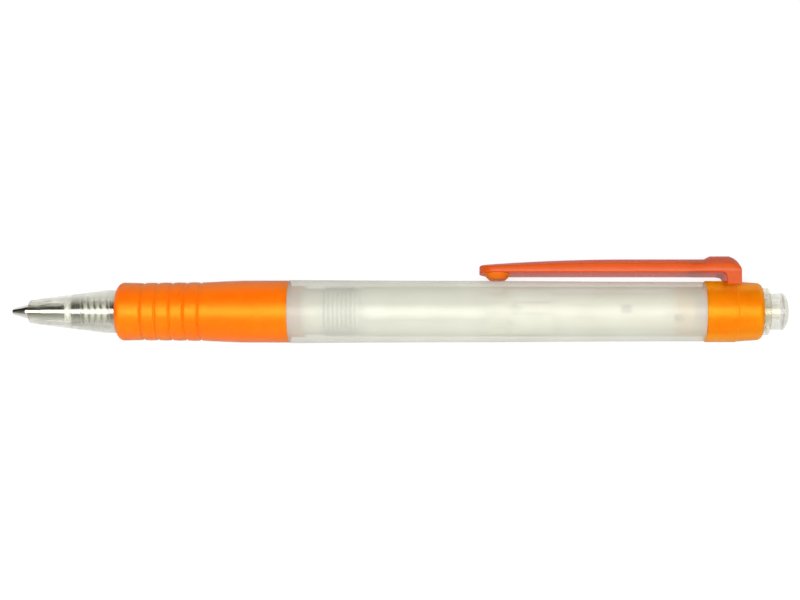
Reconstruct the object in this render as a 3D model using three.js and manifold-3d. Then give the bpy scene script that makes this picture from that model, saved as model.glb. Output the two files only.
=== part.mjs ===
// Pushbutton ballpoint pen: clear nose over a spring and refill, ringed grip, frosted barrel,
// a collar with a long pocket clip, and a clear button that works a rotating cam.
// Sizes are in millimetres. Each piece is drawn with X along the pen, from the ball towards the
// button, with Y towards the clip. The whole pen then lies on its barrel and the clip's edge.

import * as THREE from 'three';
import { mergeVertices } from 'three/addons/utils/BufferGeometryUtils.js';
import Module from 'manifold-3d';

const wasm = await Module();
wasm.setup();

// Lengths that show from outside, from the ball back to the button
const tipReach = 3.24;
const noseLength = 16.16;
const gripLength = 31.41;
const barrelLength = 75.95;
const collarLength = 10.42;
const bushLip = 1.33;
const buttonReach = 3.61;

// How far the button and refill travel back when the pen is clicked shut
const retractTravel = 4.5;

// Clearances: sleeves that are pressed or screwed together, pieces that slide, faces that meet
const sleeveGap = 0.06;
const slideGap = 0.15;
const faceGap = 0.1;
const seatGap = 0.3;

// Outer radii
const noseTipRadius = 2.1;
const noseLandRadius = 2.26;
const noseConeRadius = 2.33;
const noseRadius = 3.97;
const gripFrontRadius = 5.32;
const gripRingRadius = 5.22;
const gripRearRadius = 5.68;
const barrelFrontRadius = 5.78;
const barrelMiddleRadius = 5.62;
const barrelRearRadius = 5.44;
const collarRadius = 5.6;
const collarTailRadius = 5.25;
const bushRadius = 4.33;
const buttonRadius = 3.4;

// Nose: front land, cone, shoulder that the spring stands on, and the tube that runs under the grip
const noseLandLength = 1.6;
const noseFrontRound = 0.3;
const noseCollarLength = 2.0;
const noseLipLength = 0.6;
const springSeatDepth = 7.86;
const chamberFrontRadius = 2.6;
const chamberRearRadius = 2.9;
const coreRadius = 3.6;
const threadRelief = 4.0;
const threadTurns = 7;
const threadPitch = 0.8;
const threadDepth = 0.42;
const threadRadius = 4.52;
const coreEndLength = 0.8;

// Grip: rounded front, five shallow finger rings, a flare and a spigot inside the barrel's mouth
const gripFrontRound = 1.35;
const gripFrontFace = 4.15;
const gripRingCount = 5;
const gripRingStart = 4.86;
const gripRingPitch = 2.61;
const gripRingWidth = 0.7;
const gripRingDepth = 0.24;
const gripRingGrowth = 0.03;
const gripFlareStart = 15.91;
const gripFlareLength = 7.1;
const gripSpigotLength = 2.45;
const gripSpigotWall = 0.95;

// Barrel: bore, mouth, and the guide ribs that the cam locks on
const barrelBoreRadius = 4.55;
const barrelMouthLength = 3.0;
const barrelWaist = 38.0;
const barrelEase = 0.7;
const guideSetback = 36.0;
const guideLength = 7.95;
const guideRadius = 3.6;
const guideSlope = 0.8;
const guideSlopeShare = 0.94;
const guideSlots = 4;
const guideSlotWidth = 2.2;
const longRibLength = 18.0;
const longRibWidth = 0.7;
const longRibHeight = 0.45;

// Refill: writing tip, tube, ears that the spring pushes on, ink and its grease plug
const ballRadius = 0.5;
const ballShow = 0.2;
const ballGap = 0.04;
const ballSeatLength = 0.4;
const tipLipRadius = 0.53;
const tipRadius = 1.245;
const tipConeLength = 2.7;
const tipShoulder = 5.3;
const tipShoulderSlope = 0.2;
const tipLength = 10.05;
const tipShankRadius = 0.98;
const tipShankLength = 3.0;
const inkHoleRadius = 0.35;
const refillRadius = 1.5;
const refillBore = 1.05;
const springLength = 22.8;
const earLength = 2.6;
const earThickness = 0.9;
const inkLength = 48.0;
const greaseLength = 3.0;

// Spring: wire, coil and how its coils are spread
const wireRadius = 0.2;
const coilRadius = 2.1;
const closedCoils = 4;
const closedPitch = 0.83;
const middleCoils = 4;
const middlePitch = 0.83;
const middleStart = 5.0;
const openPitch = 1.2;

// Click mechanism: rotating cam and the plunger that pushes it
const camRadius = 3.4;
const camLugReach = 0.95;
const camLugAngle = 20.0;
const camLugLength = 3.6;
const camBodyLength = 4.2;
const camStemRadius = 1.9;
const camStemLength = 5.0;
const camSocketDepth = 2.8;
const toothCount = 8;
const toothHeight = 0.8;
const toothWall = 1.0;
const keyLength = 5.0;
const keySetback = 1.2;
const plungerShoulder = 32.6;
const plungerWall = 0.9;
const plungerFloor = 1.4;
const stemRadius = 1.35;
const windowDistance = 19.1;
const windowLength = 1.9;
const windowWidth = 1.6;
const ringDistance = 28.0;
const ringLength = 0.7;
const ringHeight = 0.3;

// Collar, bush and button
const collarFrontLength = 5.6;
const collarEndRound = 1.1;
const collarEndRadius = 4.4;
const spigotLength = 5.3;
const collarBore = 4.0;
const flangeLength = 1.2;
const flangeHeight = 0.45;
const bushRound = 0.575;
const buttonChamfer = 0.42;
const buttonDome = 0.66;
const buttonRoof = 1.65;

// Clip: arm, block over the collar, post and nub
const clipOverhang = 0.99;
const clipWidth = 6.0;
const clipTipAngle = 12;
const clipGap = 1.3;
const clipSideFront = 0.9;
const clipSideRear = 1.47;
const clipCrownFront = 1.65;
const clipCrownRear = 2.77;
const clipArmRise = 27.4;
const blockStart = 39.7;
const blockFlare = 1.55;
const blockLead = 1.1;
const blockEnd = 47.8;
const blockWidth = 6.8;
const blockSide = 1.75;
const blockCrown = 3.36;
const blockRamp = 1.45;
const blockTailLength = 1.95;
const blockTailDrop = 2.4;
const tailLean = 0.97;
const tailLeanDrop = 0.27;
const postLength = 2.75;
const postFillet = 1.2;
const tongueDepth = 1.1;
const tongueWidth = 4.4;
const nubMiddle = 3.32;
const nubRadius = 2.5;
const nubFlatRadius = 1.5;
const nubBulge = 0.15;
const nubGap = 0.2;

// Facets round the shells, the refill, the writing tip, the ball and the clip's nub
const shellSides = 40;
const refillSides = 24;
const tipSides = 20;
const ballSides = 12;
const nubSides = 24;

// Facets of the clip's back, its round end, its arm and its tail, and of the spring's wire
const clipBackPoints = 7;
const clipEndSteps = 4;
const clipArmSteps = 5;
const clipTailSteps = 4;
const coilSteps = 8;
const wireSides = 5;

// Stations along the pen, from the ball's front
const noseFront = tipReach;
const gripFront = noseFront + noseLength;
const barrelFront = gripFront + gripLength;
const collarFront = barrelFront + barrelLength;
const collarRear = collarFront + collarLength;
const bushRear = collarRear + bushLip;
const buttonRear = bushRear + buttonReach;
const springSeat = noseFront + springSeatDepth;
const earFront = springSeat + springLength + 2 * faceGap;
const guideStart = barrelLength - guideSetback;
const guideFront = barrelFront + guideStart;
const clipRear = collarFront + collarFrontLength + clipOverhang;
const clipTip = clipRear - blockEnd;
const clipInnerRadius = barrelRearRadius + clipGap + slideGap;

// The click mechanism in the writing position, and the button that stands on its plunger
const camFront = guideFront - seatGap - camLugLength;
const refillEnd = camFront + camSocketDepth - faceGap;
const plungerFront = camFront + camBodyLength + toothHeight + seatGap;
const buttonFront = plungerFront + plungerShoulder;
const bushFront = buttonFront + flangeLength + retractTravel + seatGap;
const bushLength = bushRear - bushFront;
const stemLength = buttonRear - buttonRoof - faceGap - buttonFront;

// Radii that follow from what a piece fits in or over
const tipHoleRadius = tipRadius + slideGap;
const noseBoreRadius = refillRadius + slideGap;
const gripBore = coreRadius + sleeveGap;
const mouthRadius = gripBore + gripSpigotWall + sleeveGap;
const spigotRadius = barrelBoreRadius - faceGap;
const flangeRadius = buttonRadius + flangeHeight;
const bushBore = buttonRadius + sleeveGap;

// A point of a profile: how far along the pen, and how far from its axis
function at(along, radius) {
  return new THREE.Vector2(along, radius);
}

// Points of a smooth bend from one profile point to another, leaning on a third
function bend(from, lean, to, steps) {
  return new THREE.QuadraticBezierCurve(from, lean, to).getPoints(steps);
}

// Turns three.js geometry into a solid for joining and cutting, with its faces outwards
function solid(geometry) {
  const bare = geometry.clone();
  bare.deleteAttribute('normal');
  bare.deleteAttribute('uv');
  const merged = mergeVertices(bare, 1e-4);
  const points = merged.attributes.position;
  const corners = merged.index.array;
  const kept = [];
  let volume = 0;
  const a = new THREE.Vector3();
  const b = new THREE.Vector3();
  const c = new THREE.Vector3();
  for (let i = 0; i < corners.length; i += 3) {
    const [p, q, r] = [corners[i], corners[i + 1], corners[i + 2]];
    if (p === q || q === r || r === p) {
      continue;
    }
    a.fromBufferAttribute(points, p);
    b.fromBufferAttribute(points, q);
    c.fromBufferAttribute(points, r);
    volume += a.dot(b.cross(c));
    kept.push([p, q, r]);
  }
  const triangles = kept.map(([p, q, r]) => (volume < 0 ? [p, r, q] : [p, q, r])).flat();
  const mesh = new wasm.Mesh({
    numProp: 3,
    vertProperties: new Float32Array(points.array),
    triVerts: new Uint32Array(triangles),
  });
  return new wasm.Manifold(mesh);
}

// Turns a finished solid back into three.js geometry
function geometryOf(shape) {
  const mesh = shape.getMesh();
  const geometry = new THREE.BufferGeometry();
  geometry.setAttribute('position', new THREE.BufferAttribute(mesh.vertProperties, 3));
  geometry.setIndex(new THREE.BufferAttribute(mesh.triVerts, 1));
  geometry.computeVertexNormals();
  return geometry;
}

// A solid of revolution about the pen's axis, from a profile that closes on itself
function turned(profile, sides = shellSides) {
  const closed = [...profile, profile[0].clone()];
  const lathe = new THREE.LatheGeometry(closed.map((p) => new THREE.Vector2(p.y, p.x)), sides);
  lathe.rotateZ(-Math.PI / 2);
  return solid(lathe);
}

// A block along the pen: from and to are along the axis, low and high towards the clip
function block(from, to, low, high, width) {
  const box = new THREE.BoxGeometry(to - from, high - low, width);
  box.translate((from + to) / 2, (low + high) / 2, 0);
  return solid(box);
}

// A side profile drawn in the pen's middle plane and given a width
function slab(profile, width) {
  const plate = new THREE.ExtrudeGeometry(new THREE.Shape(profile), { depth: width, bevelEnabled: false });
  plate.translate(0, 0, -width / 2);
  return solid(plate);
}

// Joins equal loops of points into one closed skin, as a ring or with a cap on each end
function skin(loops, closed) {
  const size = loops[0].length;
  const points = loops.flat();
  const corners = [];
  const last = closed ? loops.length : loops.length - 1;
  for (let i = 0; i < last; i += 1) {
    const here = i * size;
    const next = ((i + 1) % loops.length) * size;
    for (let j = 0; j < size; j += 1) {
      const k = (j + 1) % size;
      corners.push(here + j, next + j, next + k);
      corners.push(here + j, next + k, here + k);
    }
  }
  if (!closed) {
    const end = (loops.length - 1) * size;
    for (let j = 1; j < size - 1; j += 1) {
      corners.push(0, j, j + 1);
      corners.push(end, end + j + 1, end + j);
    }
  }
  const geometry = new THREE.BufferGeometry().setFromPoints(points);
  geometry.setIndex(corners);
  return geometry;
}

// A bar bent round the pen's axis. Each column has an angle, a front and a back
function bentBar(inner, outer, columns, closed) {
  const loops = columns.map(({ angle, front, back }) => {
    const turn = THREE.MathUtils.degToRad(angle);
    const out = new THREE.Vector2(Math.cos(turn), Math.sin(turn));
    const point = (along, radius) => new THREE.Vector3(along, radius * out.x, radius * out.y);
    return [point(front, inner), point(front, outer), point(back, outer), point(back, inner)];
  });
  return solid(skin(loops, closed));
}

// Turns a solid about the pen's axis
function turnedTo(shape, degrees) {
  return shape.rotate([degrees, 0, 0]);
}

// Rings that stand for a screw thread, as points of a profile from the first root to the last
function threadProfile(start, root, crest) {
  const points = [];
  for (let turn = 0; turn < threadTurns; turn += 1) {
    points.push(at(start + turn * threadPitch, root));
    points.push(at(start + (turn + 0.5) * threadPitch, crest));
  }
  points.push(at(start + threadTurns * threadPitch, root));
  return points;
}

// Clear nose: a thick cone, then a tube under the grip that ends in the barrel's thread
function noseCone() {
  const gripEnd = noseLength + gripLength + gripSpigotLength;
  const threadStart = gripEnd + threadRelief;
  const root = threadRadius - threadDepth;
  const end = threadStart + threadTurns * threadPitch + coreEndLength;
  const land = noseTipRadius - noseFrontRound;
  return turned([
    at(0, tipHoleRadius),
    at(0, land),
    ...bend(at(0, land), at(0, noseTipRadius), at(noseFrontRound, noseTipRadius), 3).slice(1),
    at(noseLandLength, noseLandRadius),
    at(noseLandLength, noseConeRadius),
    at(noseLength - noseCollarLength, noseRadius),
    at(noseLength, noseRadius),
    at(noseLength, coreRadius),
    at(gripEnd + faceGap, coreRadius),
    at(gripEnd + faceGap, root),
    ...threadProfile(threadStart, root, threadRadius),
    at(end, root),
    at(end, chamberRearRadius),
    at(noseLength, chamberRearRadius),
    at(springSeatDepth, chamberFrontRadius),
    at(springSeatDepth, noseBoreRadius),
    at(noseLipLength, noseBoreRadius),
    at(noseLipLength, tipHoleRadius),
  ]);
}

// Outline of the grip: rounded front, narrow finger rings and a flare
function gripProfile() {
  const lean = at(gripFrontRound / 3, gripFrontRadius);
  const points = bend(at(0, gripFrontFace), lean, at(gripFrontRound, gripFrontRadius), 4);
  const half = gripRingWidth / 2;
  for (let ring = 0; ring < gripRingCount; ring += 1) {
    const middle = gripRingStart + ring * gripRingPitch;
    const radius = gripRingRadius + ring * gripRingGrowth;
    points.push(at(middle - half, radius - gripRingDepth / 4));
    points.push(at(middle, radius - gripRingDepth));
    points.push(at(middle + half, radius));
  }
  const lastRing = gripRingRadius + gripRingCount * gripRingGrowth;
  const flareEnd = gripFlareStart + gripFlareLength;
  points.push(at(gripFlareStart + half, lastRing));
  points.push(at(flareEnd, gripRearRadius));
  points.push(at(gripLength, gripRearRadius));
  return points;
}

// Translucent grip sleeve with a spigot that reaches into the barrel
function gripSleeve() {
  const spigotEnd = gripLength + gripSpigotLength;
  return turned([
    at(0, gripBore),
    ...gripProfile(),
    at(gripLength, gripBore + gripSpigotWall),
    at(spigotEnd, gripBore + gripSpigotWall),
    at(spigotEnd, gripBore),
  ]);
}

// The ribs' ring inside the barrel: slanted front ends, and slots that the lugs and keys run in
function guideRing(from) {
  const columns = [];
  const tooth = 360 / toothCount;
  for (let i = 0; i < toothCount; i += 1) {
    for (const rise of [0, 0.5, 1]) {
      const angle = (i + rise * guideSlopeShare) * tooth;
      columns.push({ angle, front: from + rise * guideSlope, back: from + guideLength });
    }
  }
  let ring = bentBar(guideRadius, barrelBoreRadius + slideGap, columns, true);
  for (let i = 0; i < guideSlots; i += 1) {
    const slot = block(from - 1, from + guideLength + 1, guideRadius - 1, barrelBoreRadius, guideSlotWidth);
    ring = ring.subtract(turnedTo(slot, (i * 360) / guideSlots));
  }
  return ring;
}

// Frosted barrel: a long tube with the nose's thread in front and the cam's ribs inside
function barrel() {
  const threadStart = gripSpigotLength + threadRelief;
  const root = threadRadius - threadDepth + slideGap;
  const crest = threadRadius + slideGap;
  const threadEnd = threadStart + threadTurns * threadPitch;
  const beforeWaist = THREE.MathUtils.lerp(barrelFrontRadius, barrelMiddleRadius, barrelEase);
  const behindWaist = THREE.MathUtils.lerp(barrelMiddleRadius, barrelRearRadius, barrelEase);
  const tube = turned([
    at(0, mouthRadius),
    at(0, barrelFrontRadius - faceGap),
    at(faceGap, barrelFrontRadius),
    at(barrelWaist / 2, beforeWaist),
    at(barrelWaist, barrelMiddleRadius),
    at((barrelWaist + barrelLength) / 2, behindWaist),
    at(barrelLength, barrelRearRadius),
    at(barrelLength, barrelBoreRadius),
    at(threadEnd + coreEndLength, barrelBoreRadius),
    ...threadProfile(threadStart, root, crest).reverse(),
    at(barrelMouthLength, root),
    at(barrelMouthLength, mouthRadius),
  ]);
  const ribTop = barrelBoreRadius - longRibHeight;
  const ribStart = guideStart + guideLength - faceGap;
  const rib = block(ribStart, ribStart + longRibLength, ribTop, barrelBoreRadius + slideGap, longRibWidth);
  return tube.add(guideRing(guideStart)).add(turnedTo(rib, 180 / guideSlots + 90));
}

// Translucent collar that closes the barrel, holds the clip's tongue and carries the bush
function collar() {
  const roundStart = collarLength - collarEndRound;
  const shell = turned([
    at(-spigotLength, collarBore),
    at(-spigotLength, spigotRadius),
    at(0, spigotRadius),
    at(0, collarRadius - faceGap),
    at(faceGap, collarRadius),
    at(collarFrontLength, collarRadius),
    at(collarFrontLength + faceGap, collarRadius - faceGap),
    ...bend(
      at(roundStart, collarTailRadius),
      at(collarLength, collarTailRadius),
      at(collarLength, collarEndRadius),
      4,
    ),
    at(collarLength, collarBore),
  ]);
  const { front, rear } = tongueSpan();
  const slot = block(
    front - slideGap - collarFront,
    rear + slideGap - collarFront,
    collarRadius - tongueDepth - slideGap,
    collarRadius + 1,
    tongueWidth + 2 * slideGap,
  );
  return shell.subtract(slot);
}

// Clear bush in the collar's end, which the button slides in
function buttonBush() {
  const lipStart = bushLength - bushLip;
  const body = collarBore - sleeveGap;
  return turned([
    at(0, bushBore),
    at(0, body),
    at(lipStart, body),
    at(lipStart, bushRadius),
    ...bend(
      at(bushLength - bushRound, bushRadius),
      at(bushLength, bushRadius),
      at(bushLength, bushRadius - bushRound),
      2,
    ),
    at(bushLength, bushBore),
  ]);
}

// Clear button: flange behind the bush, a deep socket for the plunger's stem, and a domed end
function pushButton() {
  const end = buttonRear - buttonFront;
  const shoulder = end - buttonDome;
  const socket = stemLength + faceGap;
  return turned([
    at(0, stemRadius + sleeveGap),
    at(0, flangeRadius),
    at(flangeLength, flangeRadius),
    at(flangeLength, buttonRadius),
    at(shoulder - buttonChamfer, buttonRadius),
    at(shoulder, buttonRadius - buttonChamfer),
    ...bend(at(shoulder, buttonRadius - buttonChamfer), at(end, buttonRadius / 2), at(end, 0), 4).slice(1),
    at(socket, 0),
    at(socket, stemRadius + sleeveGap),
  ]);
}

// Crown of even teeth, used facing back on the cam and facing forward on the plunger
function crown(base, direction) {
  const columns = [];
  const tooth = 360 / toothCount;
  for (let i = 0; i < toothCount; i += 1) {
    for (const share of [0, 0.25, 0.5, 0.75]) {
      const rise = 1 - Math.abs(1 - 2 * share);
      const tip = base + direction * rise * toothHeight;
      const foot = base - direction * toothHeight;
      columns.push({ angle: (i + share) * tooth, front: Math.min(tip, foot), back: Math.max(tip, foot) });
    }
  }
  return bentBar(camRadius - toothWall, camRadius, columns, true);
}

// A lug or key on the outside of the cam or plunger, with a slanted rear end
function lug(from, to, slant) {
  const columns = [-1, 0, 1].map((side) => ({
    angle: (side * camLugAngle) / 2,
    front: from,
    back: to - ((side + 1) / 2) * slant,
  }));
  return bentBar(camRadius - slideGap, camRadius + camLugReach, columns, false);
}

// Rotating cam: socket for the refill, four lugs with slanted ends, a crown and a pilot stem
function rotatingCam() {
  let cam = turned([
    at(0, refillRadius + slideGap),
    at(0, camRadius - faceGap),
    at(faceGap, camRadius),
    at(camBodyLength, camRadius),
    at(camBodyLength, camStemRadius),
    at(camBodyLength + camStemLength, camStemRadius),
    at(camBodyLength + camStemLength, 0),
    at(camSocketDepth, 0),
    at(camSocketDepth, refillRadius + slideGap),
  ]);
  cam = cam.add(crown(camBodyLength, 1));
  for (let i = 0; i < guideSlots; i += 1) {
    cam = cam.add(turnedTo(lug(faceGap * 2, camLugLength, toothHeight), (i * 360) / guideSlots));
  }
  return cam;
}

// Plunger: a toothed tube with keys and two windows, a stop ring, and the stem for the button
function plunger() {
  const bore = camRadius - plungerWall;
  let body = turned([
    at(toothHeight, bore),
    at(toothHeight, camRadius),
    at(ringDistance, camRadius),
    at(ringDistance, camRadius + ringHeight),
    at(ringDistance + ringLength, camRadius + ringHeight),
    at(ringDistance + ringLength, camRadius),
    at(plungerShoulder, camRadius),
    at(plungerShoulder, stemRadius),
    at(plungerShoulder + stemLength, stemRadius),
    at(plungerShoulder + stemLength, 0),
    at(plungerShoulder - plungerFloor, 0),
    at(plungerShoulder - plungerFloor, bore),
  ]);
  body = body.add(crown(toothHeight, -1));
  for (let i = 0; i < guideSlots; i += 1) {
    const key = lug(keySetback, keySetback + keyLength, 0);
    body = body.add(turnedTo(key, (i * 360) / guideSlots));
  }
  for (const [from, degrees] of [[windowDistance, 90], [ringDistance + ringLength, 120]]) {
    const window = block(from, from + windowLength, 0, camRadius + 1, windowWidth);
    body = body.subtract(turnedTo(window, degrees));
  }
  return body;
}

// Metal writing tip: a cone that traps the ball, a shoulder, and a shank inside the tube
function writingTip() {
  const lip = ballShow;
  const middle = ballRadius;
  const cup = ballRadius + ballGap;
  const lipBore = Math.sqrt(cup ** 2 - (middle - lip) ** 2);
  const seat = middle + ballSeatLength;
  return turned(
    [
      at(lip, lipBore),
      at(lip, tipLipRadius),
      at(tipConeLength, tipRadius),
      at(tipShoulder, tipRadius),
      at(tipShoulder + tipShoulderSlope, refillRadius),
      at(tipLength, refillRadius),
      at(tipLength, tipShankRadius),
      at(tipLength + tipShankLength, tipShankRadius),
      at(tipLength + tipShankLength, inkHoleRadius),
      at(seat + cup - inkHoleRadius, inkHoleRadius),
      at(seat, cup),
      at(middle, cup),
    ],
    tipSides,
  );
}

// Writing ball
function ball() {
  return solid(new THREE.SphereGeometry(ballRadius, ballSides, ballSides / 2));
}

// Refill tube with two moulded ears that take the spring's push
function refillTube() {
  const length = refillEnd - tipLength;
  let tube = turned(
    [at(0, refillBore), at(0, refillRadius), at(length, refillRadius), at(length, refillBore)],
    refillSides,
  );
  const from = earFront - tipLength;
  const reach = coilRadius + wireRadius;
  for (const side of [0, 180]) {
    const ear = block(from, from + earLength, (refillRadius + refillBore) / 2, reach, earThickness);
    tube = tube.add(turnedTo(ear, side));
  }
  return tube;
}

// Ink and the grease that follows it down the tube
function inkColumn() {
  return rod(inkLength);
}

function greasePlug() {
  return rod(greaseLength);
}

function rod(length) {
  const radius = refillBore - sleeveGap;
  return turned([at(0, 0), at(0, radius), at(length, radius), at(length, 0)], refillSides);
}

// How far the spring's wire has climbed after some turns: close coils in front, in a group
// further back and at the rear, and open coils between them
function springRuns(lead) {
  const closed = closedCoils * closedPitch;
  const middle = middleCoils * middlePitch;
  const openRear = springLength - 2 * lead - 2 * closed - middle - middleStart;
  return [
    { coils: closedCoils, climb: closed },
    { coils: Math.round(middleStart / openPitch), climb: middleStart },
    { coils: middleCoils, climb: middle },
    { coils: Math.round(openRear / openPitch), climb: openRear },
    { coils: closedCoils, climb: closed },
  ];
}

// The spring's path: straight for a wire's width at each end, and one unbroken coil between
function springPath() {
  const lead = 2 * wireRadius + coilRadius / 4;
  const path = [];
  const add = (x, turn) => {
    const angle = turn * 2 * Math.PI;
    const out = new THREE.Vector3(0, Math.cos(angle), Math.sin(angle));
    path.push({ point: out.clone().multiplyScalar(coilRadius).setX(x), out });
  };
  add(0, 0);
  add(2 * wireRadius, 0);
  let climbed = lead;
  let turns = 1 / coilSteps;
  add(climbed, turns);
  for (const { coils, climb } of springRuns(lead)) {
    for (let step = 1; step <= coils * coilSteps; step += 1) {
      add(climbed + (climb * step) / (coils * coilSteps), turns + step / coilSteps);
    }
    climbed += climb;
    turns += coils;
  }
  add(springLength - 2 * wireRadius, Math.ceil(turns));
  add(springLength, Math.ceil(turns));
  return path;
}

// Least clear distance between two turns of the spring, measured on the points of its path
function springGap(path) {
  let least = Infinity;
  for (let i = 0; i < path.length; i += 1) {
    for (let j = i + 5; j < path.length; j += 1) {
      least = Math.min(least, path[i].point.distanceTo(path[j].point) - 2 * wireRadius);
    }
  }
  return least;
}

// Spring: wire along the path
function spring() {
  const path = springPath();
  const loops = path.map(({ point, out }, i) => {
    const before = path[Math.max(i - 1, 0)].point;
    const after = path[Math.min(i + 1, path.length - 1)].point;
    const ahead = after.clone().sub(before).normalize();
    const side = ahead.clone().cross(out).normalize();
    const up = side.clone().cross(ahead).normalize();
    const ring = [];
    for (let j = 0; j < wireSides; j += 1) {
      const angle = (j / wireSides) * 2 * Math.PI;
      const offset = up.clone().multiplyScalar(Math.cos(angle) * wireRadius);
      offset.addScaledVector(side, Math.sin(angle) * wireRadius);
      ring.push(point.clone().add(offset));
    }
    return ring;
  });
  console.log('spring: least gap to itself', springGap(path).toFixed(3), 'mm');
  return solid(skin(loops, false));
}

// Where the clip's tongue enters the collar, along the pen
function tongueSpan() {
  const rear = clipRear - slideGap;
  return { front: rear - postLength + 2 * slideGap, rear };
}

// Heights of the clip above its inner face at a distance from its front end
function armHeights(distance) {
  const share = Math.min(distance / clipArmRise, 1);
  const eased = share * (2 - share);
  const side = THREE.MathUtils.lerp(clipSideFront, clipSideRear, eased);
  const crownHeight = THREE.MathUtils.lerp(clipCrownFront, clipCrownRear, eased);
  return { side, crown: crownHeight };
}

// One cross-section of the clip: flat inner face, upright sides and a crowned back
function clipSection(distance, half, fullHalf, side, crownHeight) {
  const loop = [];
  const point = (width, height) => new THREE.Vector3(distance, clipInnerRadius + height, width);
  loop.push(point(half, 0));
  for (let i = 0; i <= clipBackPoints; i += 1) {
    const width = half * Math.cos((i / clipBackPoints) * Math.PI);
    const drop = (crownHeight - side) * (width / fullHalf) ** 2;
    loop.push(point(width, crownHeight - drop));
  }
  loop.push(point(-half, 0));
  return loop;
}

// Arm: round in plan at its front end, thicker towards the collar
function clipArm() {
  const radius = clipWidth / 2;
  const loops = [];
  const section = (distance, half) => {
    const { side, crown: top } = armHeights(distance);
    loops.push(clipSection(distance, half, radius, side, top));
  };
  const first = THREE.MathUtils.degToRad(clipTipAngle);
  for (let i = 0; i <= clipEndSteps; i += 1) {
    const turn = THREE.MathUtils.lerp(first, Math.PI / 2, i / clipEndSteps);
    section(radius * (Math.cos(first) - Math.cos(turn)), radius * Math.sin(turn));
  }
  for (let i = 1; i <= clipArmSteps; i += 1) {
    section(THREE.MathUtils.lerp(radius, clipArmRise, i / clipArmSteps), radius);
  }
  section(blockStart - blockFlare, radius);
  section(blockStart + blockLead + blockRamp / 2, radius);
  return solid(skin(loops, false));
}

// Block over the collar: wider than the arm, with a ramp in front and a rounded tail
function clipBlock() {
  const half = blockWidth / 2;
  const armHalf = clipWidth / 2;
  const { side, crown: top } = armHeights(blockStart);
  const tail = blockEnd - blockTailLength;
  const rampFoot = blockStart + blockLead;
  const loops = [
    clipSection(blockStart - blockFlare, armHalf - faceGap, armHalf, side - faceGap, top - faceGap),
    clipSection(blockStart, half, half, side, top - faceGap),
    clipSection(rampFoot, half, half, side, top - 2 * faceGap),
    clipSection(rampFoot + blockRamp, half, half, blockSide, blockCrown),
    clipSection(tail, half, half, blockSide, blockCrown),
  ];
  const lean = at(tail + blockTailLength * tailLean, blockCrown - blockTailDrop * tailLeanDrop);
  const fall = bend(at(tail, blockCrown), lean, at(blockEnd, blockCrown - blockTailDrop), clipTailSteps);
  for (const { x: distance, y: height } of fall.slice(1)) {
    loops.push(clipSection(distance, half, half, (height * blockSide) / blockCrown, height));
  }
  return solid(skin(loops, false));
}

// Post under the block, with its fillet, shaped to the collar and with a tongue in its slot
function clipPost() {
  const rear = blockEnd;
  const front = rear - postLength;
  const step = collarFront + collarFrontLength + faceGap - clipTip;
  const inner = clipInnerRadius;
  const profile = [
    at(front - postFillet, inner + slideGap),
    ...bend(at(front - postFillet, inner), at(front, inner), at(front, inner - postFillet), 4),
    at(front, 0),
    at(rear, 0),
    at(rear, inner + slideGap),
  ];
  const post = slab(profile, blockWidth);
  const collarCut = turned([
    at(front - postFillet - 1, 0),
    at(front - postFillet - 1, collarRadius + faceGap),
    at(step, collarRadius + faceGap),
    at(step + faceGap, collarRadius),
    at(rear + 1, collarRadius),
    at(rear + 1, 0),
  ]);
  const { front: tongueFront, rear: tongueRear } = tongueSpan();
  const tongue = block(
    tongueFront - clipTip,
    tongueRear - clipTip,
    collarRadius - tongueDepth,
    inner,
    tongueWidth,
  );
  return post.subtract(collarCut).add(tongue);
}

// Round nub under the arm's front end, bowl-shaped, that grips the pocket against the barrel
function clipNub() {
  const bottom = barrelMiddleRadius + nubGap;
  const top = clipInnerRadius + slideGap;
  const lean = new THREE.Vector2(nubRadius - nubBulge / 2, bottom + nubBulge);
  const rim = new THREE.Vector2(nubRadius, clipInnerRadius);
  const outline = [
    new THREE.Vector2(0, bottom),
    ...bend(new THREE.Vector2(nubFlatRadius, bottom), lean, rim, 3),
    new THREE.Vector2(nubRadius, top),
    new THREE.Vector2(0, top),
    new THREE.Vector2(0, bottom),
  ];
  return solid(new THREE.LatheGeometry(outline, nubSides)).translate([nubMiddle, 0, 0]);
}

// Clip: opaque moulding that hooks over the barrel
function clip() {
  return clipArm().add(clipBlock()).add(clipPost()).add(clipNub());
}

// A piece of the pen: its shape, its place along the pen, and its colour and finish
function piece(name, shape, place, color, roughness, metalness = 0) {
  const material = new THREE.MeshStandardMaterial({ color, roughness, metalness });
  const mesh = new THREE.Mesh(geometryOf(shape), material);
  mesh.name = name;
  mesh.position.x = place;
  return mesh;
}

const pen = new THREE.Group();
pen.add(
  piece('nose_cone', noseCone(), noseFront, 0xe4e6df, 0.1),
  piece('grip_sleeve', gripSleeve(), gripFront, 0xff8a10, 0.45),
  piece('barrel', barrel(), barrelFront, 0xe6e6d8, 0.5),
  piece('collar', collar(), collarFront, 0xff9010, 0.25),
  piece('button_bush', buttonBush(), bushFront, 0xd8d8d2, 0.15),
  piece('push_button', pushButton(), buttonFront, 0xe6e6de, 0.1),
  piece('plunger', plunger(), plungerFront, 0xe8e4d8, 0.5),
  piece('rotating_cam', rotatingCam(), camFront, 0xf0ece0, 0.5),
  piece('clip', clip(), clipTip, 0xf06830, 0.25),
  piece('spring', spring(), springSeat + faceGap, 0xb8bcc0, 0.25, 1),
  piece('writing_tip', writingTip(), 0, 0xb0aca0, 0.25, 1),
  piece('ball', ball(), ballRadius, 0x909498, 0.15, 1),
  piece('refill_tube', refillTube(), tipLength, 0xf2f2ec, 0.4),
  piece('ink', inkColumn(), tipLength + tipShankLength + faceGap, 0x1c2a70, 0.3),
  piece('ink_follower', greasePlug(), tipLength + tipShankLength + 2 * faceGap + inkLength, 0xd8c890, 0.4),
);

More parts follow.
